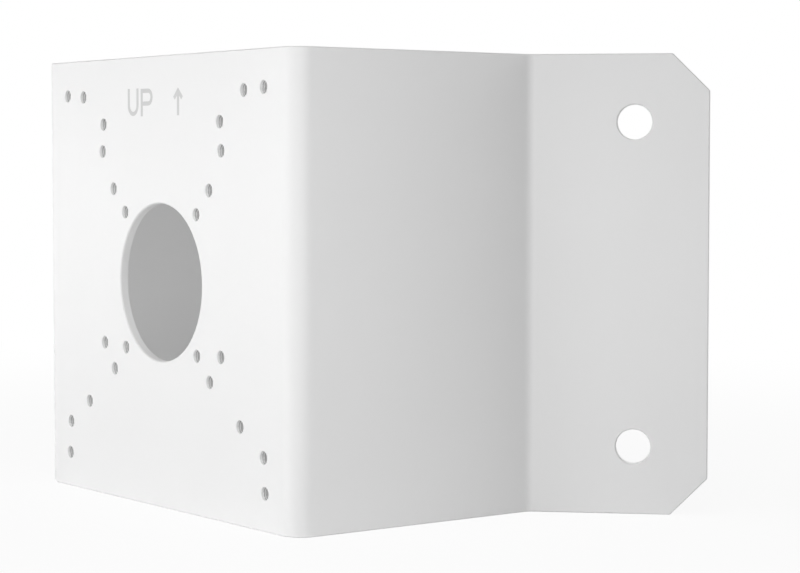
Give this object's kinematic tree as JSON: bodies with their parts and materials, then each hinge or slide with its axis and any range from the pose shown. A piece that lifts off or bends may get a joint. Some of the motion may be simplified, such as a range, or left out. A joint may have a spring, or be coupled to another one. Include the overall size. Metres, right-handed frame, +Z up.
{
  "type": "camera corner bracket",
  "caption": "Folded sheet bracket: a drilled camera plate stands off the outside corner of a building on two side panels with angled wall flanges.",
  "frame": {"origin": "middle of the camera plate's front face, on the cable hole's axis", "axes": "+X right seen from the front, +Y back towards the wall, +Z up as mounted"},
  "size_m": [0.1936, 0.1084, 0.12],
  "materials": {
    "white_powder_coat": "satin white powder coat"
  },
  "bodies": {
    "root": {"corner_bracket": "white_powder_coat"}
  },
  "joints": []
}
